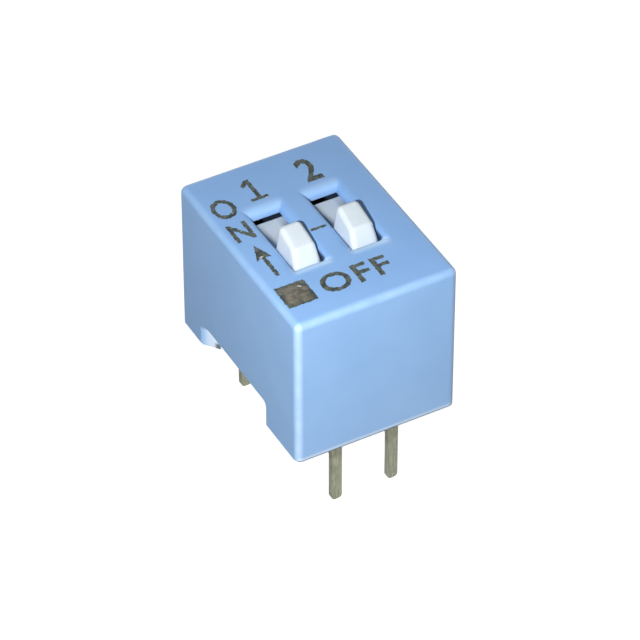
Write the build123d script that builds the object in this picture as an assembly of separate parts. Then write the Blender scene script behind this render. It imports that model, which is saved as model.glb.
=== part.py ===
from build123d import *
import os

# Two-position slide switch for a printed circuit board, millimetres.
# X runs along the row of switches, +Y is the ON direction, +Z is up.
# The origin is the centre of the footprint on the board surface.

# Row of switches
positions = 2
pitch = 2.54
row_spacing = 7.62

# Case: a five-sided shell, open below
end_margin = 2.285          # middle of an outer slot to the end face
pin_margin = 1.04           # middle of a pin row to the face beside it
case_height = 7.10
end_wall = 0.55
side_wall = 0.50
roof = 0.60
edge_radius = 0.30
cavity_radius = 0.12
foot_bevel = 0.06
partition = 0.40            # wall between two switches

# Slots in the roof, with rounded edges
slot_width = 1.25
slot_edge_radius = 0.38
slot_land = 0.04            # straight wall below the rounded edge
slot_shift = 0.10           # middle of the slots behind the middle of the case

# Vent notches in the two end walls
notch_height = 1.08
notch_front = 2.17
notch_rear = 2.50
notch_flare = 0.70          # how far the rear end opens towards the outside
notch_front_radius = 0.14
notch_rear_radius = 0.30
notch_edge_radius = 0.20

# Guide ribs on the end walls, inside
rib_count = 3
rib_width = 0.70
rib_step = 2.90

# Base: one moulding round the terminals
base_lift = 0.35            # underside above the board
base_height = 2.25
base_fit = 0.02             # gap to the case all round
base_bevel = 0.08
core_length = 5.00          # hollows in the underside, one under each switch
core_width = 1.70
core_depth = 1.05
core_radius = 0.25

# Snap ridges on the base and their grooves in the case
snap_length = 3.20
snap_depth = 0.14
snap_height = 0.42
snap_level = 1.35
snap_gap = 0.03

# Slider
plate_thickness = 0.50
plate_overhang = 1.72       # plate past the knob at each end
plate_bevel = 0.10
lift_gap = 0.05             # slider below the roof
guide_gap = 0.05            # slider beside its channel
stop_gap = 0.03             # knob to the end of its slot
knob_length = 1.72
knob_gap = 0.040            # knob beside its slot
travel = 1.80
knob_height = 0.80          # above the roof
knob_top_width = 0.92
knob_nose_run = 0.35        # length of the steep front face
knob_nose_drop = 0.34       # how much lower the top is at the front
knob_foot_drop = 0.24       # front face starts this far below the roof
knob_rear_lean = 0.06
knob_radius = 0.22
web_width = 1.60
web_length = 3.50
flange_thickness = 0.45
pocket_width = 1.10
pocket_length = 3.00
pocket_ceiling = 0.80       # solid left between pocket and plate
carrier_gap = 0.20          # carrier above the base
peg_radius = 0.16
peg_length = 0.22
peg_bevel = 0.04

# Contact spring
spring_thickness = 0.10
spring_width = 0.90
spring_seat = 0.90          # flat middle of the spring
spring_reach = 1.20         # middle of the slider to a foot
spring_knee = 0.95
spring_knee_rise = 1.25     # knee above the foot
spring_tip_run = 0.22
spring_tip_rise = 0.17
spring_bend = 0.12
slit_width = 0.16
slit_rise = 1.55            # slit above the foot
peg_hole_gap = 0.03
wipe_gap = 0.03             # foot above its pad

# Terminals, stamped from one thickness of strip
strip = 0.25
pad_width = 0.90
pad_margin = 0.15           # pad past the furthest point a foot reaches
break_gap = 1.00            # bare base between the two pads
bend_radius = 0.30          # outside of the bend
bend_inner_radius = 0.10
pin_width = 0.46
pin_reach = 3.65            # below the board surface
pin_tip_radius = 0.17
root_thickness = 0.20       # folded root behind each pin
root_width = 0.38
root_reach = 1.45

pick_margin = 0.01          # how far past a level an edge lies to be picked

# Worked out from the sizes above
case_width = (positions - 1) * pitch + 2 * end_margin
case_depth = row_spacing + 2 * pin_margin
deck = base_lift + base_height
slot_length = knob_length + travel + 2 * stop_gap
slot_lip = slot_edge_radius + slot_land
knob_width = slot_width - 2 * knob_gap
plate_length = knob_length + 2 * plate_overhang
plate_top = case_height - slot_lip - lift_gap
plate_bottom = plate_top - plate_thickness
channel_length = plate_length + travel + 2 * stop_gap
channel_width = pitch - partition
plate_width = channel_width - 2 * guide_gap
off_y = slot_shift - travel / 2
on_y = slot_shift + travel / 2
inner_x = case_width / 2 - end_wall
inner_y = case_depth / 2 - side_wall
cavity_top = case_height - roof
pocket_top = plate_bottom - pocket_ceiling
foot_level = deck + wipe_gap + spring_thickness / 2
slot_x = [(i - (positions - 1) / 2) * pitch for i in range(positions)]
LOW = (Align.CENTER, Align.CENTER, Align.MIN)


def block(x0, x1, y0, y1, z0, z1):
    """A box between six faces."""
    size = Box(x1 - x0, y1 - y0, z1 - z0, align=(Align.MIN, Align.MIN, Align.MIN))
    return Pos(x0, y0, z0) * size


def rounded_block(length, width, height, z0, radius):
    """A box with rounded upright edges, centred on Z."""
    body = Pos(0, 0, z0) * Box(length, width, height, align=LOW)
    return fillet(body.edges().filter_by(Axis.Z), radius)


def snap_ridge(side, level, depth, height, length):
    """A ridge of triangular section that stands out of a long wall of the base."""
    wall = inner_y - base_fit
    points = [(wall - depth, level - height / 2), (wall + depth, level),
              (wall - depth, level + height / 2)]
    face = make_face(Polyline(*[(side * y, z) for y, z in points], close=True))
    return extrude(Plane.YZ.offset(-length / 2) * face, amount=length)


def notch_cutter(side):
    """A low notch through one end wall. Its rear end opens towards the outside."""
    outer = case_width / 2 + end_wall
    inner = inner_x - end_wall
    corners = [(outer, -notch_front), (inner, -notch_front),
               (inner, notch_rear - notch_flare), (outer, notch_rear + 2 * notch_flare)]
    plan = make_face(Polyline(*[(side * x, y) for x, y in corners], close=True))
    cutter = extrude(Pos(0, 0, -notch_height) * plan, amount=2 * notch_height, dir=(0, 0, 1))
    rear = cutter.faces().sort_by(Axis.Z)[-1].edges().sort_by(Axis.Y)[-1]
    cutter = fillet(rear, notch_rear_radius)
    front = cutter.faces().sort_by(Axis.Z)[-1].edges().filter_by(Axis.X)
    return fillet(front, notch_front_radius)


def cover():
    """The case with its slots, slider channels, ribs, notches and snap grooves."""
    shell = rounded_block(case_width, case_depth, case_height, 0, edge_radius)
    shell = fillet(shell.faces().sort_by(Axis.Z)[-1].edges(), edge_radius)
    shell = chamfer(shell.faces().sort_by(Axis.Z)[0].edges(), foot_bevel)
    shell -= rounded_block(2 * inner_x, 2 * inner_y, 2 * cavity_top, -cavity_top, cavity_radius)

    # Walls between the switches and guide ribs on the end walls
    for left, right in zip(slot_x, slot_x[1:]):
        middle = (left + right) / 2
        shell += block(middle - partition / 2, middle + partition / 2, -inner_y, inner_y, deck, cavity_top)
    rib_depth = inner_x - (slot_x[-1] + channel_width / 2)
    for side in (-1, 1):
        for i in range(rib_count):
            y = (i - (rib_count - 1) / 2) * rib_step
            x = side * (inner_x - rib_depth / 2)
            shell += Pos(x, y, deck) * Box(rib_depth, rib_width, cavity_top - deck, align=LOW)

    # Slots with rounded edges, and the channels under the roof
    for x in slot_x:
        shell -= Pos(x, slot_shift, cavity_top) * Box(slot_width, slot_length, 2 * roof, align=LOW)
    mouths = shell.faces().sort_by(Axis.Z)[-1].inner_wires()
    shell = fillet([e for mouth in mouths for e in mouth.edges()], slot_edge_radius)
    for x in slot_x:
        floor = Pos(x, slot_shift, cavity_top)
        shell -= floor * Box(channel_width, channel_length, roof - slot_lip, align=LOW)
    for side in (-1, 1):
        shell -= notch_cutter(side)
        edge = [e for e in shell.edges().filter_by(Axis.Z)
                if abs(e.center().X) > inner_x + foot_bevel and side * e.center().X > 0
                and 0 < e.center().Z < notch_height and e.center().Y > notch_rear]
        shell = fillet(edge, notch_edge_radius)
        shell -= snap_ridge(side, snap_level, snap_depth + snap_gap, snap_height + 2 * snap_gap,
                            snap_length + 2 * snap_gap)
    return shell


def terminal(x, row):
    """A stamped terminal: contact pad on the base, a bend, and a pin through the base."""
    leg_y = row * row_spacing / 2
    pad_end = on_y - spring_reach + pad_margin
    if row > 0:
        pad_end += break_gap
    outer = leg_y + row * strip / 2
    length = abs(outer - pad_end)
    toward = -row

    # Side view of pad and leg, then the width of each
    side_view = [(outer, deck), (outer + toward * length, deck),
                 (outer + toward * length, deck - strip), (outer + toward * strip, deck - strip),
                 (outer + toward * strip, -pin_reach), (outer, -pin_reach)]
    bar = extrude(Plane.YZ.offset(-pad_width / 2) * make_face(Polyline(*side_view, close=True)),
                  amount=pad_width)
    upper = bar.edges().filter_by(Axis.X).sort_by_distance((0, outer, deck))[0]
    bar = fillet(upper, bend_radius)
    inside = bar.edges().filter_by(Axis.X).sort_by_distance((0, outer + toward * strip, deck - strip))[0]
    bar = fillet(inside, bend_inner_radius)

    # The pin is narrower than the pad from just above the underside of the base
    shoulder = base_lift + strip
    pin = Pos(0, -pin_reach / 2) * Rectangle(pin_width, pin_reach)
    pin += Pos(0, shoulder / 2) * Rectangle(pin_width, shoulder)
    tips = pin.vertices().sort_by(Axis.Y)[:2]
    pin = fillet(tips, pin_tip_radius)
    keep = extrude(Plane.XZ * pin, amount=case_depth, both=True)
    keep += block(-pad_width / 2, pad_width / 2, -case_depth, case_depth, shoulder, deck)
    bar = bar & keep

    # A short folded root stands behind the pin, with a slanting lower end
    back = outer + toward * strip
    tip = back + toward * root_thickness
    fold = [(back, shoulder), (tip, shoulder), (tip, root_thickness - root_reach), (back, -root_reach)]
    face = make_face(Polyline(*fold, close=True))
    bar += extrude(Plane.YZ.offset(-root_width / 2) * face, amount=root_width)
    return Pos(x, 0, 0) * bar


def base(terminals):
    """The base, moulded round the terminals, with hollows below and snap ridges."""
    gap = base_fit
    body = rounded_block(2 * (inner_x - gap), 2 * (inner_y - gap), base_height, base_lift,
                         cavity_radius)
    body = chamfer(body.faces().sort_by(Axis.Z)[0].edges(), base_bevel)
    for x in slot_x:
        body -= Pos(x, 0, 0) * rounded_block(core_width, core_length, core_depth, base_lift,
                                             core_radius)
    for side in (-1, 1):
        body += snap_ridge(side, snap_level, snap_depth, snap_height, snap_length)
    for piece in terminals:
        body -= piece
    return body


def knob():
    """The raised knob: a wedge with sloping flanks, highest at its rear."""
    half = knob_length / 2
    top = case_height + knob_height
    side_view = [(-half, plate_top - plate_bevel), (-half, case_height - knob_foot_drop),
                 (-half + knob_nose_run, top - knob_nose_drop), (half - knob_rear_lean, top),
                 (half, plate_top - plate_bevel)]
    wedge = extrude(Plane.YZ.offset(-knob_width / 2) * make_face(Polyline(*side_view, close=True)),
                    amount=knob_width)
    foot = case_height - knob_foot_drop
    front_view = [(-knob_width / 2, plate_top - plate_bevel), (-knob_width / 2, foot),
                  (-knob_top_width / 2, top), (knob_top_width / 2, top),
                  (knob_width / 2, foot), (knob_width / 2, plate_top - plate_bevel)]
    flanks = extrude(Plane.XZ.offset(-knob_length) * make_face(Polyline(*front_view, close=True)),
                     amount=2 * knob_length)
    body = wedge & flanks
    rounded = [e for e in body.edges() if e.center().Z > foot + pick_margin]
    return fillet(rounded, knob_radius)


def slider(x):
    """A slider: knob, plate under the roof, and a carrier with a pocket for the spring."""
    body = Pos(0, 0, plate_bottom) * Box(plate_width, plate_length, plate_thickness, align=LOW)
    body = chamfer(body.faces().sort_by(Axis.Z)[-1].edges().filter_by(Axis.X), plate_bevel)
    carrier_bottom = deck + carrier_gap
    body += Pos(0, 0, carrier_bottom) * Box(web_width, web_length, plate_bottom - carrier_bottom,
                                            align=LOW)
    body += Pos(0, 0, carrier_bottom) * Box(plate_width, web_length, flange_thickness, align=LOW)
    hollow = pocket_top - carrier_bottom
    body -= Pos(0, 0, carrier_bottom) * Box(pocket_width, pocket_length, hollow, align=LOW)
    peg = Pos(0, 0, pocket_top - peg_length) * Cylinder(peg_radius, peg_length, align=LOW)
    body += chamfer(peg.faces().sort_by(Axis.Z)[0].edges(), peg_bevel)
    body += knob()
    return Pos(x, off_y, 0) * body


def contact(x):
    """The contact spring: a bowed strip with two split arms that wipe the pads."""
    seat = pocket_top - spring_thickness / 2
    bends = [(spring_seat / 2, seat), (spring_knee, foot_level + spring_knee_rise),
             (spring_reach, foot_level), (spring_reach + spring_tip_run, foot_level + spring_tip_rise)]
    points = [(-y, z) for y, z in reversed(bends)] + bends
    line = Plane.YZ * FilletPolyline(*points, radius=spring_bend)
    start = Plane(line @ 0, x_dir=(1, 0, 0), z_dir=line % 0)
    body = sweep(start * Rectangle(spring_width, spring_thickness), path=line)
    sink = body.bounding_box().min.Z - (deck + wipe_gap)
    body = Pos(0, 0, -sink) * body
    body -= Pos(0, 0, seat) * Cylinder(peg_radius + peg_hole_gap, 4 * spring_thickness)
    for side in (-1, 1):
        y = side * (spring_reach + spring_tip_run)
        body -= Pos(0, y, deck) * Box(slit_width, 2 * spring_seat, slit_rise, align=LOW)
    return Pos(x, off_y, 0) * body


os.makedirs("parts", exist_ok=True)
parts = {"cover": cover()}
terminals = {}
for number, x in enumerate(slot_x, start=1):
    terminals[f"terminal_{number}_front"] = terminal(x, -1)
    terminals[f"terminal_{number}_rear"] = terminal(x, 1)
    parts[f"slider_{number}"] = slider(x)
    parts[f"contact_{number}"] = contact(x)
parts["base"] = base(terminals.values())
parts.update(terminals)
for name, shape in parts.items():
    export_step(shape, f"parts/{name}.step")
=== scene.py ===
import math

import bmesh
import bpy
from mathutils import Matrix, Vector


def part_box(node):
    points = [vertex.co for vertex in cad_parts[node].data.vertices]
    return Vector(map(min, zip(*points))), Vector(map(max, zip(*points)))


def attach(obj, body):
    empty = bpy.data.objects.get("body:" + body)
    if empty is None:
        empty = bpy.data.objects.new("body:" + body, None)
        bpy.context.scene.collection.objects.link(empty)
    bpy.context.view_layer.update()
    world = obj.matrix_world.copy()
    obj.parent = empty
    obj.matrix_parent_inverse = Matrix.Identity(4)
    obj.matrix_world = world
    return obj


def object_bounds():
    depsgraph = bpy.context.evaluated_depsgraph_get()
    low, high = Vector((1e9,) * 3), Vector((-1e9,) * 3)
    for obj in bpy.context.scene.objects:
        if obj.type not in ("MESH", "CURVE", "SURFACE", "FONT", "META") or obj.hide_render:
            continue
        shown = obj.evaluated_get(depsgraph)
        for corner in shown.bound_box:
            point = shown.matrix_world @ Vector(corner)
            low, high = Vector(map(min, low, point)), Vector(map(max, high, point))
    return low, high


# The look of a two-position slide switch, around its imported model.
# Lengths in metres are written as millimetres times mm. Materials and the outlines of the
# printed marks work in plain millimetres.
mm = 0.001

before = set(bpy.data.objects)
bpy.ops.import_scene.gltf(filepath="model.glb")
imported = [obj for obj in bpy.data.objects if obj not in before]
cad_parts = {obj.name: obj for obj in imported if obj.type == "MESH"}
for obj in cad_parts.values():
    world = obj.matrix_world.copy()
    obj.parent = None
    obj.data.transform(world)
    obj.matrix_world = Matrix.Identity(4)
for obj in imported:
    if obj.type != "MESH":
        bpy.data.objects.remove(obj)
cad_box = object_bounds()

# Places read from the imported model
case_low, case_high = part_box("cover")
slider_low, slider_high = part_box("slider_2")
roof = case_high.z
floor_level = cad_box[0].z

# The same places in plain millimetres
half_width = case_high.x / mm
half_depth = case_high.y / mm
case_top = roof / mm
case_foot = case_low.z / mm
slot_middle = (slider_low.x + slider_high.x) / 2 / mm     # from the middle of the case, either way

# Slots, knobs and notches, as in the part's source
slot_shift = 0.10           # middle of the slots behind the middle of the case
slot_half_width = 0.625
slot_half_length = 1.79
slot_edge_radius = 0.38
knob_rear = 0.06            # rear of a knob at rest
cavity_top = 6.50
notch_height = 1.08

# Painted highlights and shade on the case: where each band starts and ends, from the edge that it
# follows
edge_highlight_band = (-0.34, -0.04)      # from an outer face
lip_start = (-0.05, 0.10)       # from the end of a slot
lip_stop = (0.25, 0.60)
lip_side = (0.0, 0.35)          # from the side of a slot
lip_base = (0.0, 0.2)           # from the cavity's top
lip_change = (-0.2, 0.2)        # from the front lips to the rear ones, along Y
slot_mouth = (-slot_edge_radius / 2, -slot_edge_radius / 5)     # from the roof
slot_end = (-0.08, 0.02)
slot_side = (0.30, 0.36)
slot_wall = (0.55, 0.60)        # from the middle of a slot
knob_shadow = (-0.15, 0.20)     # from the rear of a knob
rear_shadow = (0.8, 1.5)        # along Y
wall_face = (-0.12, -0.06)      # from the outside of a long wall
foot_line = (0.08, 0.12)        # from the foot
foot_rim = (0.20, 0.28)
end_wall = 3.0                  # about an end wall's inner face, from the middle of the case
flare_inner = (0.0, 0.05)       # from the inner face of an end wall
flare_outer = (-0.22, -0.01)    # from its outside
flare_top = (0.0, 0.05)         # from the top of a notch
flare_front = (1.7, 1.8)        # along Y
flare_rear = (2.7, 3.6)
corner_depth = (0.10, 0.22)     # from the inner face of an end wall
corner_top = (0.18, 0.34)       # from the foot
inside_x = (-0.56, -0.50)       # from the outside of an end wall
inside_y = (-0.46, -0.40)       # from the outside of a long wall
inside_top = (-0.02, 0.06)      # from the cavity's top
inside_foot = (2.3, 2.9)        # along Z

# How strong each painted highlight and shade on the case is, from 0 to 1
side_edge_pale = 0.75           # the roof's left and right edges, against its front and rear ones
# Painted highlight on the outer edges: its least strength, and what patches add to it
highlight_least = 0.25
highlight_patchy = 0.30              # what patches add to it
# Painted highlight on the slot lips
lip_highlight = 0.35
front_lip_highlight = 0.60           # what a front lip adds to it
# Painted highlight on the foot rim and the notch flares
rim_highlight = 0.45
flare_highlight = 0.7
knob_line_dark = 0.95
slot_corner_dark = 0.8
# Painted shade along the foot and in the notch corners
foot_shade = 0.85
notch_corner_shade = 0.9
# Painted shade inside the case
inside_dark = 0.94

# Painted shade on the sliders: where each band starts and ends
slider_sunk = (0.05, 0.42)      # down from the roof
ledge_start = (-0.05, 0.10)     # behind the rear of the knob
wall_shade_end = (0.5, 2.0)
knob_shade_end = (0.2, 1.1)
ledge_by_wall = (0.22, 0.52)    # from the middle of the slot
ledge_by_knob = (0.0, 0.42)
far_flank = (0.35, 0.50)

# How strong each painted shade on the sliders is, from 0 to 1
sunk_shade_least = 0.25
ledge_shade_extra = 0.75               # what the ledge adds to it
by_wall_dark = 0.85
by_knob_dark = 0.40
flank_dark = 0.7

# Camera: the photograph's viewing angle and perspective
view_azimuth = -28.81
view_elevation = 41.52
view_distance = 164.94 * mm
view_target = Vector((-0.309 * mm, -0.800 * mm, 3.0 * mm))
view_lens = 235.93          # focal length in millimetres
sensor_width = 36.0

# Room, lamps and floor
room_light = 0.09
room_shine = 0.30           # what smooth surfaces mirror of the room
white_light = (1.0, 1.0, 1.0)
warm_light = (1.0, 0.78, 0.58)
bounce_size = 60 * mm       # side and distance of a panel that throws light back
floor_size = 1.5            # in metres
floor_glow = 1.0

# Printed marks on the roof, in boxes of left, right, front and rear, and the ink
mark_boxes = {
    "2": (0.98, 1.74, 2.51, 3.92),
    "O": (-3.19, -2.21, 2.06, 3.24),
    "N": (-3.15, -2.32, 0.58, 1.68),
    "OFF": (-1.56, 1.40, -3.74, -2.66),
}
letter_weight = 0.018       # how far a letter's outline is let out, in letter heights
letter_spacing = 1.12
one_foot = (-1.50, -0.75, 2.51, 2.67)
one_stem = (-1.20, -1.02, 3.82)         # left, right and top
one_flag = (-1.49, 3.56, 0.15)          # its tip, and its thickness
one_flag_root = 1.6                     # where it leaves the stem, in thicknesses below the top
square_box = (-3.25, -1.97, -3.75, -2.48)
dash_box = (-0.33, 0.345, -0.15, -0.03)
arrow_tip = (-2.70, 0.16)
arrow_length = 2.00
arrow_head_length = 0.88
arrow_head_width = 0.68
arrow_shaft_width = 0.17
ink_thickness = 0.008 * mm
ink_sunk = 0.002 * mm       # bottom of the ink under the roof's surface
ink_step = 0.035 * mm       # spacing of the points along an edge of ink
ink_ragged = 0.16 * mm      # how far an edge strays
ink_grain = 9.0             # ragged edge waves per millimetre
weld = 0.0001 * mm          # points closer than this are one
square_rim = 0.3            # width of the square's greener border


class Value:
    """A socket in a material. Arithmetic on it adds Math nodes."""

    def __init__(self, finish, socket):
        self.finish = finish
        self.socket = socket

    def worked(self, operation, *values):
        inputs = dict(enumerate(values))
        return self.finish.node("ShaderNodeMath", {"operation": operation}, inputs)

    def __add__(self, other):
        return self.worked("ADD", self, other)

    def __radd__(self, other):
        return self.worked("ADD", other, self)

    def __sub__(self, other):
        return self.worked("SUBTRACT", self, other)

    def __rsub__(self, other):
        return self.worked("SUBTRACT", other, self)

    def __mul__(self, other):
        return self.worked("MULTIPLY", self, other)

    def __rmul__(self, other):
        return self.worked("MULTIPLY", other, self)

    def __neg__(self):
        return self.worked("MULTIPLY", self, -1.0)

    def __abs__(self):
        return self.worked("ABSOLUTE", self)

    def sign(self):
        return self.worked("SIGN", self)

    def step(self, low, high, edge=0.0):
        """0 below low, 1 above high, both measured from an edge, and smooth between."""
        inputs = {"Value": self, "From Min": edge + low, "From Max": edge + high}
        return self.finish.node("ShaderNodeMapRange", {"interpolation_type": "SMOOTHSTEP"}, inputs)

    def fade(self, low, high, edge=0.0):
        """1 below low and 0 above high."""
        return 1 - self.step(low, high, edge)


class Finish:
    """A material made from nodes. Places on the piece are in millimetres."""

    def __init__(self, name, constants):
        self.material = bpy.data.materials.new(name)
        self.material.use_nodes = True
        self.tree = self.material.node_tree
        self.shader = self.tree.nodes["Principled BSDF"]
        for socket, value in constants.items():
            self.shader.inputs[socket].default_value = value
        metres = self.node("ShaderNodeTexCoord", output="Object")
        self.place = self.node("ShaderNodeVectorMath", {"operation": "SCALE"},
                               {0: metres, "Scale": 1 / mm})

    def node(self, kind, settings=None, inputs=None, output=0):
        """Adds a node with its settings first, then its sockets, and gives one output."""
        new = self.tree.nodes.new(kind)
        for key, value in (settings or {}).items():
            setattr(new, key, value)
        for key, value in (inputs or {}).items():
            self.feed(new.inputs[key], value)
        return Value(self, new.outputs[output])

    def feed(self, socket, value):
        if isinstance(value, Value):
            self.tree.links.new(value.socket, socket)
        else:
            socket.default_value = value

    def axes(self, wanted="XYZ"):
        """The place along each axis that is wanted."""
        return [self.node("ShaderNodeSeparateXYZ", {}, {0: self.place}, axis) for axis in wanted]

    def stretched(self, x, y, z):
        """The place with each axis scaled, for a pattern that runs one way."""
        return self.node("ShaderNodeMapping", {}, {"Vector": self.place, "Scale": (x, y, z)})

    def noise(self, scale, detail=2.0, place=None, roughness=0.5):
        """A pattern from 0 to 1, with scale waves per millimetre."""
        inputs = {"Vector": place or self.place, "Scale": scale, "Detail": detail,
                  "Roughness": roughness}
        return self.node("ShaderNodeTexNoise", {}, inputs)

    def mix(self, share, first, second):
        """A colour between two, by a share from 0 to 1."""
        inputs = {0: share, 6: first, 7: second}
        return self.node("ShaderNodeMix", {"data_type": "RGBA"}, inputs, 2)

    def bump(self, height, depth, strength=1.0):
        """Surface relief: height runs from 0 to 1 over depth, in millimetres."""
        inputs = {"Height": height, "Distance": depth * mm, "Strength": strength}
        return self.node("ShaderNodeBump", {}, inputs)

    def paint(self, **sockets):
        """Feeds what changes over the surface to the shader's sockets."""
        for socket, value in sockets.items():
            self.feed(self.shader.inputs[socket.replace("_", " ")], value)
        return self.material


def colour(red, green, blue):
    return (red, green, blue, 1.0)


def across_slot(x):
    """The distance right of the middle of the nearer slot."""
    return x - x.sign() * slot_middle


def edge_highlights(x, y, z):
    """Painted highlight along the outer edges and corners of the case."""
    near_side = abs(x).step(*edge_highlight_band, edge=half_width)
    near_front = abs(y).step(*edge_highlight_band, edge=half_depth)
    near_roof = z.step(*edge_highlight_band, edge=case_top)
    roof_edges = near_roof * near_side * side_edge_pale
    return near_side * near_front + roof_edges + near_roof * near_front


def slot_lips(x, y, z):
    """Painted highlight on the rounded lips at the front and rear of the slots; the front ones
    stronger, standing in for light thrown back from the knobs.
    """
    along = abs(y - slot_shift)
    at_end = along.step(*lip_start, edge=slot_half_length)
    before_stop = along.fade(*lip_stop, edge=slot_half_length)
    within_sides = abs(across_slot(x)).fade(*lip_side, edge=slot_half_width)
    lip = at_end * before_stop * within_sides * z.step(*lip_base, edge=cavity_top)
    return lip * (y.fade(*lip_change) * front_lip_highlight + lip_highlight)


def slot_shadows(x, y, z):
    """Painted shadow: the dark line right of each knob, and the dark left rear corner of each slot.
    """
    across = across_slot(x)
    sunk = z.fade(*slot_mouth, edge=case_top)
    in_slot = sunk * abs(y - slot_shift).fade(*slot_end, edge=slot_half_length) * (
        abs(across).fade(*slot_side, edge=slot_half_width))
    by_knob = across.step(*slot_wall) * (y - knob_rear).fade(*knob_shadow)
    rear_corner = (-across).step(*slot_wall) * y.step(*rear_shadow)
    return in_slot * (by_knob * knob_line_dark + rear_corner * slot_corner_dark)


def notch_flare(x, y, z):
    """The flared rear corner of each notch, which gets a painted highlight, with painted shade low
    in its inner corner.
    """
    depth = abs(x).step(*flare_inner, edge=end_wall) * abs(x).fade(*flare_outer, edge=half_width)
    height = z.fade(*flare_top, edge=case_foot + notch_height)
    return depth * height * (y.step(*flare_front) * y.fade(*flare_rear))


def shut_in(x, y, z):
    """The covered inside of the case, which gets near-black painted shade."""
    inside = abs(x).fade(*inside_x, edge=half_width) * abs(y).fade(*inside_y, edge=half_depth)
    return inside * z.fade(*inside_top, edge=cavity_top) * z.step(*inside_foot)


def case_plastic():
    """Moulded blue plastic with satin grain and slight clouding; painted highlights on its edges,
    slot lips, foot rim and notch flares; painted shade in the slots, along the foot, in the notch
    corners and inside.
    """
    deep_blue, light_blue = colour(0.210, 0.415, 0.770), colour(0.268, 0.480, 0.840)
    fleck_blue, highlight_blue = colour(0.33, 0.56, 0.92), colour(0.50, 0.72, 0.98)
    highlight_rim_blue, shadow_blue = colour(0.62, 0.78, 0.95), colour(0.015, 0.025, 0.06)
    foot_shade_grey, inside_blue = colour(0.05, 0.06, 0.08), colour(0.01, 0.015, 0.03)
    finish = Finish("case_plastic", {"IOR": 1.5})
    place = finish.axes()
    x, y, z = place
    clouds = finish.noise(0.55, 3.0)
    grain = finish.noise(22.0, 3.0, roughness=0.6)
    blue = finish.mix(clouds, deep_blue, light_blue)
    flecked = finish.mix(grain.step(0.35, 0.8) * 0.22, blue, fleck_blue)

    # Painted highlight on the outer edges, in patches, and on the slot lips
    patchy_highlight = finish.noise(1.6, 3.0).step(0.25, 0.75) * highlight_patchy + highlight_least
    pale = edge_highlights(*place) * patchy_highlight + slot_lips(*place)
    edged = finish.mix(pale, flecked, highlight_blue)
    # Painted shadow in the slots
    shaded = finish.mix(slot_shadows(*place), edged, shadow_blue)

    # Painted highlight on a thin rim just above the foot of the long walls
    long_wall = abs(y).step(*wall_face, edge=half_depth)
    above_line = z.step(*foot_line, edge=case_foot)
    rim = long_wall * above_line * z.fade(*foot_rim, edge=case_foot)
    flare = notch_flare(*place)
    # Painted shade low in the inner corner of each notch flare
    corner = flare * abs(x).fade(*corner_depth, edge=end_wall) * z.fade(*corner_top, edge=case_foot)
    rimmed = finish.mix(rim * rim_highlight + flare * flare_highlight, shaded, highlight_rim_blue)
    # Painted shade on a dark line at the foot of the long walls
    line = long_wall * (1 - above_line)
    footed = finish.mix(line * foot_shade + corner * notch_corner_shade, rimmed, foot_shade_grey)
    # Painted shade: near-black inside the case
    covered = finish.mix(shut_in(*place) * inside_dark, footed, inside_blue)
    relief = finish.bump(grain * 0.7 + finish.noise(1.2) * 0.9, 0.012)
    return finish.paint(Base_Color=covered, Roughness=0.36 + clouds * 0.10 + grain * 0.08,
                        Normal=relief)


def slider_shade(x, y):
    """How far a place is on the ledge behind a knob, and how much painted shade the ledge or far
    flank gets.
    """
    across = across_slot(x)
    behind = y - knob_rear
    on_ledge = behind.step(*ledge_start)
    near_wall = abs(across).step(*ledge_by_wall) * behind.fade(*wall_shade_end)
    near_knob = abs(across).step(*ledge_by_knob) * behind.fade(*knob_shade_end)
    flank = across.step(*far_flank) * (1 - on_ledge)
    dark_ledge = on_ledge * (near_wall * by_wall_dark + near_knob * by_knob_dark)
    return on_ledge, dark_ledge + flank * flank_dark


def slider_plastic():
    """Milky white plastic with faint marks along its travel, painted blue-grey shade where it is
    sunk, and painted shade on the ledge and the knob's far flank.
    """
    blue_white, clear_white = colour(0.65, 0.73, 0.79), colour(0.76, 0.83, 0.88)
    streak_grey, sunk_shade_grey = colour(0.60, 0.68, 0.75), colour(0.55, 0.64, 0.74)
    shade_blue = colour(0.08, 0.13, 0.21)
    finish = Finish("slider_plastic", {"IOR": 1.45, "Subsurface Weight": 0.7,
                                       "Subsurface Radius": (1.0, 1.0, 1.0),
                                       "Subsurface Scale": 0.32 * mm,
                                       "Specular IOR Level": 0.3})
    x, y, z = finish.axes()
    clouds = finish.noise(1.4, 3.0)
    drawn = finish.noise(6.0, 3.0, finish.stretched(3.0, 0.35, 1.0))
    grain = finish.noise(26.0)
    white = finish.mix(clouds, blue_white, clear_white)
    streaked = finish.mix(drawn.step(0.5, 0.8) * 0.25, white, streak_grey)
    # Painted shade: blue-grey where the slider is sunk below the roof, stronger on the ledge
    sunk = (case_top - z).step(*slider_sunk)
    on_ledge, dark = slider_shade(x, y)
    tinted = finish.mix(sunk * (on_ledge * ledge_shade_extra + sunk_shade_least), streaked, sunk_shade_grey)
    # Painted shade on the ledge near the walls and the knob, and on the knob's far flank
    shaded = finish.mix(sunk * dark, tinted, shade_blue)
    relief = finish.bump(grain * 0.5 + drawn * 0.8, 0.010)
    return finish.paint(Base_Color=shaded, Roughness=0.50 + drawn * 0.14, Normal=relief)


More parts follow.
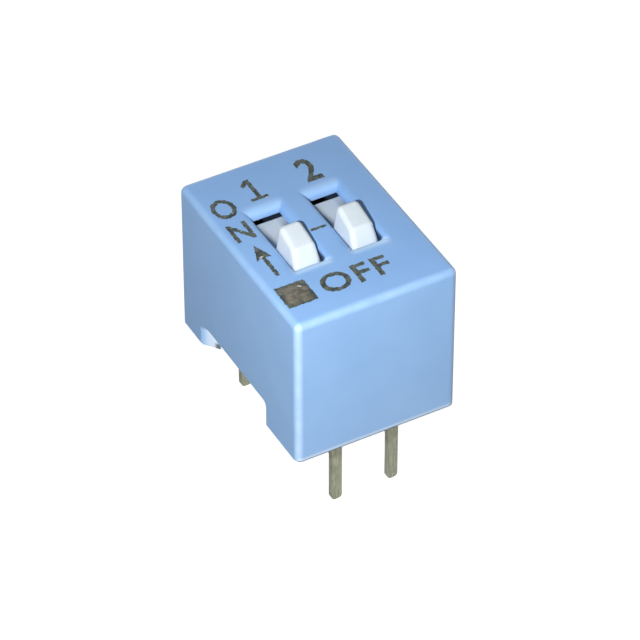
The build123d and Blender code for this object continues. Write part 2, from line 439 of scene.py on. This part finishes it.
def base_plastic():
    """Dark glass-filled plastic, matt, with pale fibre specks."""
    near_black, dark_grey = colour(0.018, 0.021, 0.030), colour(0.036, 0.041, 0.055)
    fibre_grey = colour(0.12, 0.13, 0.15)
    finish = Finish("base_plastic", {"IOR": 1.48})
    clouds = finish.noise(0.9, 3.0)
    specks = finish.noise(30.0, 2.0, finish.stretched(1.0, 0.4, 1.0))
    dark = finish.mix(clouds, near_black, dark_grey)
    specked = finish.mix(specks.step(0.66, 0.80) * 0.5, dark, fibre_grey)
    relief = finish.bump(specks * 0.8 + clouds * 0.6, 0.014)
    return finish.paint(Base_Color=specked, Roughness=0.52 + specks * 0.18, Normal=relief)


def pin_metal():
    """Tin plate over brass: drawn marks down the pin, dull patches, and a brown tint high up."""
    dark_tin, bright_tin = colour(0.36, 0.41, 0.32), colour(0.63, 0.69, 0.60)
    dull_tin, brown = colour(0.28, 0.32, 0.24), colour(0.16, 0.13, 0.08)
    finish = Finish("pin_metal", {"Metallic": 0.75})
    [height] = finish.axes("Z")
    drawn = finish.noise(9.0, 4.0, finish.stretched(3.0, 3.0, 0.16), 0.6)
    patches = finish.noise(2.3, 3.0)
    tin = finish.mix(drawn.step(0.3, 0.75), dark_tin, bright_tin)
    dulled = finish.mix(patches.step(0.45, 0.7) * 0.55, tin, dull_tin)
    tinted = finish.mix(height.step(-1.2, 0.2) * 0.4, dulled, brown)
    relief = finish.bump(drawn * 0.8 + patches * 0.4, 0.010)
    return finish.paint(Base_Color=tinted, Roughness=0.30 + patches * 0.22, Normal=relief)


def spring_metal():
    """Gilded spring strip with rolling marks along its length."""
    dark_gold, bright_gold = colour(0.62, 0.42, 0.14), colour(0.86, 0.66, 0.30)
    finish = Finish("spring_metal", {"Metallic": 1.0})
    rolled = finish.noise(8.0, 3.0, finish.stretched(4.0, 0.25, 0.25), 0.6)
    gold = finish.mix(rolled, dark_gold, bright_gold)
    relief = finish.bump(rolled, 0.006)
    return finish.paint(Base_Color=gold, Roughness=0.24 + rolled * 0.16, Normal=relief)


def print_ink():
    """Dark dry ink, browner in the middle of the square, mottled, with a few pale specks."""
    dark_green, pale_green = colour(0.030, 0.042, 0.042), colour(0.125, 0.140, 0.115)
    dark_brown, pale_brown = colour(0.085, 0.085, 0.070), colour(0.215, 0.195, 0.150)
    speck_grey = colour(0.62, 0.64, 0.58)
    finish = Finish("print_ink", {"IOR": 1.45})
    x, y = finish.axes("XY")
    left, right, front, rear = square_box
    across = x.step(0.0, square_rim, edge=left) * x.fade(-square_rim, 0.0, edge=right)
    along = y.step(0.0, square_rim, edge=front) * y.fade(-square_rim, 0.0, edge=rear)
    coarse = finish.noise(5.0, 3.0)
    fine = finish.noise(24.0, 2.0, roughness=0.6)
    mottle = (coarse * 0.65 + fine * 0.35).step(0.38, 0.62)
    green = finish.mix(mottle, dark_green, pale_green)
    brown = finish.mix(mottle, dark_brown, pale_brown)
    ink = finish.mix(across * along, green, brown)
    specks = finish.noise(4.2, 0.0).step(0.76, 0.80)
    specked = finish.mix(specks * 0.85, ink, speck_grey)
    broken = 1 - (fine * 0.5 + coarse * 0.5).step(0.58, 0.68) * 0.55      # thin spots
    relief = finish.bump(fine, 0.006)
    return finish.paint(Base_Color=specked, Roughness=0.62 + fine * 0.2, Alpha=broken,
                        Normal=relief)


def backdrop_white():
    """The pale floor, which glows evenly."""
    off_white, near_white = colour(0.90, 0.90, 0.90), colour(0.93, 0.93, 0.93)
    finish = Finish("backdrop_white", {"Roughness": 0.8, "Emission Strength": floor_glow,
                                       "Emission Color": colour(*white_light)})
    return finish.paint(Base_Color=finish.mix(finish.noise(0.02), off_white, near_white))


class Recipe:
    """A Geometry Nodes tree built from plain calls."""

    def __init__(self, name, inputs):
        self.tree = bpy.data.node_groups.new(name, "GeometryNodeTree")
        self.tree.is_modifier = True
        new_socket = self.tree.interface.new_socket
        new_socket("Geometry", in_out="INPUT", socket_type="NodeSocketGeometry")
        new_socket("Geometry", in_out="OUTPUT", socket_type="NodeSocketGeometry")
        for label, kind in inputs.items():
            new_socket(label, in_out="INPUT", socket_type=kind)
        self.given = self.tree.nodes.new("NodeGroupInput").outputs
        self.result = self.tree.nodes.new("NodeGroupOutput").inputs["Geometry"]

    def node(self, kind, settings=None, inputs=None, output=0):
        """Adds a node. A list feeds several links into one socket."""
        new = self.tree.nodes.new(kind)
        for key, value in (settings or {}).items():
            setattr(new, key, value)
        for key, value in (inputs or {}).items():
            for source in value if isinstance(value, list) else [value]:
                if isinstance(source, bpy.types.NodeSocket):
                    self.tree.links.new(source, new.inputs[key])
                else:
                    new.inputs[key].default_value = source
        return new.outputs[output]

    def finish_with(self, geometry, material):
        """Ends the tree in real meshes with their material."""
        real = self.node("GeometryNodeRealizeInstances", inputs={0: geometry})
        painted = self.node("GeometryNodeSetMaterial", inputs={0: real, "Material": material})
        self.tree.links.new(painted, self.result)
        return self.tree


def ink_recipe():
    """Turns a flat outline into a thin layer of ink with a ragged edge."""
    recipe = Recipe("printed_ink", {
        "Step": "NodeSocketFloat", "Ragged": "NodeSocketFloat", "Grain": "NodeSocketFloat",
        "Thickness": "NodeSocketFloat", "Level": "NodeSocketFloat", "Seed": "NodeSocketFloat",
        "Ink": "NodeSocketMaterial"})
    given = recipe.given
    faces = recipe.node("GeometryNodeInputMeshEdgeNeighbors")
    rim = recipe.node("FunctionNodeCompare", {"data_type": "INT", "operation": "EQUAL"},
                      {2: faces, 3: 1})
    outline = recipe.node("GeometryNodeMeshToCurve", inputs={0: given["Geometry"], 1: rim})
    points = recipe.node("GeometryNodeResampleCurve", {"mode": "LENGTH"},
                         {"Curve": outline, "Length": given["Step"]})
    place = recipe.node("ShaderNodeVectorMath", {"operation": "SCALE"},
                        {0: recipe.node("GeometryNodeInputPosition"), "Scale": 1 / mm})
    wave = recipe.node("ShaderNodeTexNoise", {"noise_dimensions": "4D"},
                       {"Vector": place, "W": given["Seed"], "Scale": given["Grain"]}, "Color")
    centred = recipe.node("ShaderNodeVectorMath", {"operation": "SUBTRACT"},
                          {0: wave, 1: (0.5, 0.5, 0.5)})
    flat = recipe.node("ShaderNodeVectorMath", {"operation": "MULTIPLY"},
                       {0: centred, 1: (1.0, 1.0, 0.0)})
    stray = recipe.node("ShaderNodeVectorMath", {"operation": "SCALE"},
                        {0: flat, "Scale": given["Ragged"]})
    ragged = recipe.node("GeometryNodeSetPosition", inputs={0: points, "Offset": stray})
    under = recipe.node("GeometryNodeFillCurve", inputs={0: ragged})
    layer = recipe.node("GeometryNodeExtrudeMesh", {"mode": "FACES"},
                        {0: under, "Offset Scale": given["Thickness"], "Individual": False})
    turned = recipe.node("GeometryNodeFlipFaces", inputs={0: under})
    both = recipe.node("GeometryNodeJoinGeometry", inputs={0: [turned, layer]})
    closed = recipe.node("GeometryNodeMergeByDistance", inputs={0: both, "Distance": weld})
    up = recipe.node("ShaderNodeCombineXYZ", inputs={"Z": given["Level"]})
    raised = recipe.node("GeometryNodeSetPosition", inputs={0: closed, "Offset": up})
    return recipe.finish_with(raised, given["Ink"])


def apply_recipe(tree, mesh, name, settings):
    """Runs a tree on a mesh and gives back a plain object at the origin."""
    rough = bpy.data.objects.new("rough_" + name, mesh)
    bpy.context.collection.objects.link(rough)
    modifier = rough.modifiers.new("recipe", "NODES")
    modifier.node_group = tree
    for item in tree.interface.items_tree:
        if item.item_type == "SOCKET" and item.name in settings:
            modifier[item.identifier] = settings[item.name]
    ready = rough.evaluated_get(bpy.context.evaluated_depsgraph_get())
    result = bpy.data.meshes.new_from_object(ready)
    bpy.data.objects.remove(rough)
    piece = bpy.data.objects.new(name, result)
    bpy.context.collection.objects.link(piece)
    return piece


def letters(text):
    """A flat mesh of the letters, at any size."""
    writing = bpy.data.curves.new("writing", "FONT")
    writing.body = text
    writing.space_character = letter_spacing
    writing.offset = letter_weight
    pen = bpy.data.objects.new("writing", writing)
    bpy.context.collection.objects.link(pen)
    ready = pen.evaluated_get(bpy.context.evaluated_depsgraph_get())
    mesh = bpy.data.meshes.new_from_object(ready)
    bpy.data.objects.remove(pen)
    return mesh


def fit(mesh, box):
    """Stretches a flat mesh over left, right, front and rear."""
    left, right, front, rear = box
    xs = [v.co.x for v in mesh.vertices]
    ys = [v.co.y for v in mesh.vertices]
    for v in mesh.vertices:
        across = (v.co.x - min(xs)) / (max(xs) - min(xs))
        along = (v.co.y - min(ys)) / (max(ys) - min(ys))
        v.co.x = (left + across * (right - left)) * mm
        v.co.y = (front + along * (rear - front)) * mm
    return mesh


def polygon(points):
    """A flat face with these corners, in millimetres."""
    mesh = bpy.data.meshes.new("outline")
    corners = [(x * mm, y * mm, 0.0) for x, y in points]
    mesh.from_pydata(corners, [], [range(len(corners))])
    return mesh


def rectangle(box):
    left, right, front, rear = box
    return polygon([(left, front), (right, front), (right, rear), (left, rear)])


def figure_one():
    """A one with a flag and a straight foot."""
    left, right, front, rear = one_foot
    stem_left, stem_right, top = one_stem
    flag_x, flag_y, flag_thickness = one_flag
    return polygon([(left, front), (right, front), (right, rear), (stem_right, rear),
                    (stem_right, top), (stem_left, top), (flag_x, flag_y),
                    (flag_x + flag_thickness / 2, flag_y - flag_thickness),
                    (stem_left, top - one_flag_root * flag_thickness), (stem_left, rear),
                    (left, rear)])


def arrow():
    """An arrow that points to the rear, with a slightly notched head."""
    x, y = arrow_tip
    neck, foot = y - arrow_head_length, y - arrow_length
    shaft, head = arrow_shaft_width / 2, arrow_head_width / 2
    return polygon([(x, y), (x - head, neck), (x - shaft, neck + shaft), (x - shaft, foot),
                    (x + shaft, foot), (x + shaft, neck + shaft), (x + head, neck)])


def joined(*meshes):
    """One mesh of several."""
    shape = bmesh.new()
    for mesh in meshes:
        shape.from_mesh(mesh)
    whole = bpy.data.meshes.new("joined")
    shape.to_mesh(whole)
    shape.free()
    return whole


def print_marks(ink):
    """The numbers, ON, OFF, the arrow, the corner square and the dash between the slots."""
    def placed(text):
        return fit(letters(text), mark_boxes[text])

    shapes = {
        "mark_1": figure_one(),
        "mark_2": placed("2"),
        "mark_on": joined(placed("O"), placed("N")),
        "mark_off": placed("OFF"),
        "mark_arrow": arrow(),
        "mark_square": rectangle(square_box),
        "mark_dash": rectangle(dash_box),
    }
    tree = ink_recipe()
    for number, (name, mesh) in enumerate(shapes.items()):
        settings = {"Step": ink_step, "Ragged": ink_ragged, "Grain": ink_grain,
                    "Thickness": ink_thickness, "Level": roof - ink_sunk,
                    "Seed": float(number), "Ink": ink}
        piece = apply_recipe(tree, mesh, name, settings)
        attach(piece, "housing")


def coat(material, *nodes):
    """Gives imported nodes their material."""
    for name in nodes:
        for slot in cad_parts[name].material_slots:
            slot.material = material


def floor():
    """A plain pale floor under the pins. It glows, so that no corner of it is dull."""
    half = floor_size / 2
    mesh = bpy.data.meshes.new("floor")
    mesh.from_pydata([(-half, -half, floor_level), (half, -half, floor_level),
                      (half, half, floor_level), (-half, half, floor_level)], [], [(0, 1, 2, 3)])
    mesh.materials.append(backdrop_white())
    plane = bpy.data.objects.new("floor", mesh)
    bpy.context.collection.objects.link(plane)
    plane.visible_diffuse = False
    plane.visible_glossy = False
    plane.visible_shadow = False
    return plane


def direction(azimuth, elevation):
    """The way from the object to a viewer at that angle."""
    a, e = math.radians(azimuth), math.radians(elevation)
    return Vector((math.sin(a) * math.cos(e), -math.cos(a) * math.cos(e), math.sin(e)))


def panel(name, azimuth, elevation, distance, size, lit, unlit, tint=white_light):
    """A square soft light that faces the object and leaves one thing unlit.

    lit is how bright it makes a white surface that faces it, where 1 is plain white.
    """
    light = bpy.data.lights.new(name, "AREA")
    light.color = tint
    light.size = size
    light.energy = lit * (math.pi * distance) ** 2
    lamp = bpy.data.objects.new(name, light)
    back = direction(azimuth, elevation)
    lamp.location = view_target + back * distance
    lamp.rotation_euler = back.to_track_quat("Z", "Y").to_euler()
    lamp.visible_camera = False
    bpy.context.collection.objects.link(lamp)
    kept_out = bpy.data.collections.new(name + "_leaves_out")
    kept_out.objects.link(unlit)
    kept_out.collection_objects[0].light_linking.link_state = "EXCLUDE"
    lamp.light_linking.receiver_collection = kept_out


def studio(plane):
    """A dim room, a small lamp close by at the viewer's left, and soft light thrown back."""
    world = bpy.data.worlds.new("white_room")
    world.use_nodes = True
    nodes, links = world.node_tree.nodes, world.node_tree.links
    background = nodes["Background"]
    background.inputs["Color"].default_value = colour(*white_light)
    path = nodes.new("ShaderNodeLightPath")
    mirrored = nodes.new("ShaderNodeMapRange")
    mirrored.inputs["To Min"].default_value = room_light
    mirrored.inputs["To Max"].default_value = room_shine
    links.new(path.outputs["Is Glossy Ray"], mirrored.inputs["Value"])
    seen = nodes.new("ShaderNodeMapRange")
    links.new(mirrored.outputs[0], seen.inputs["To Min"])
    links.new(path.outputs["Is Camera Ray"], seen.inputs["Value"])
    links.new(seen.outputs[0], background.inputs["Strength"])
    bpy.context.scene.world = world

    def bounce(name, azimuth, elevation, lit, tint=white_light):
        panel(name, azimuth, elevation, bounce_size, bounce_size, lit, plane, tint)

    panel("near_lamp", azimuth=-38.5, elevation=43, distance=42 * mm, size=1.2 * mm, lit=1.12,
          unlit=plane)
    bounce("front_bounce", azimuth=-30, elevation=-30, lit=0.72, tint=warm_light)
    bounce("left_bounce", azimuth=-80, elevation=-10, lit=0.14, tint=warm_light)
    panel("rear_fill", azimuth=150, elevation=15, distance=200 * mm, size=160 * mm, lit=0.17,
          unlit=plane)
    bounce("rear_bounce", azimuth=165, elevation=-12, lit=0.50)
    bounce("right_bounce", azimuth=95, elevation=-10, lit=0.45)
    bpy.context.scene.view_settings.view_transform = "Standard"


def camera():
    """The photograph's viewing angle."""
    lens = bpy.data.cameras.new("camera")
    lens.sensor_width = sensor_width
    lens.lens = view_lens
    lens.clip_start = 0.01
    lens.clip_end = 10.0
    eye = bpy.data.objects.new("camera", lens)
    back = direction(view_azimuth, view_elevation)
    eye.location = view_target + back * view_distance
    eye.rotation_mode = "QUATERNION"
    eye.rotation_quaternion = back.to_track_quat("Z", "Y")
    bpy.context.collection.objects.link(eye)
    bpy.context.scene.camera = eye


camera()
studio(floor())
coat(case_plastic(), "cover")
coat(base_plastic(), "base")
coat(slider_plastic(), "slider_1", "slider_2")
coat(spring_metal(), "contact_1", "contact_2")
coat(pin_metal(), "terminal_1_front", "terminal_1_rear", "terminal_2_front", "terminal_2_rear")
print_marks(print_ink())
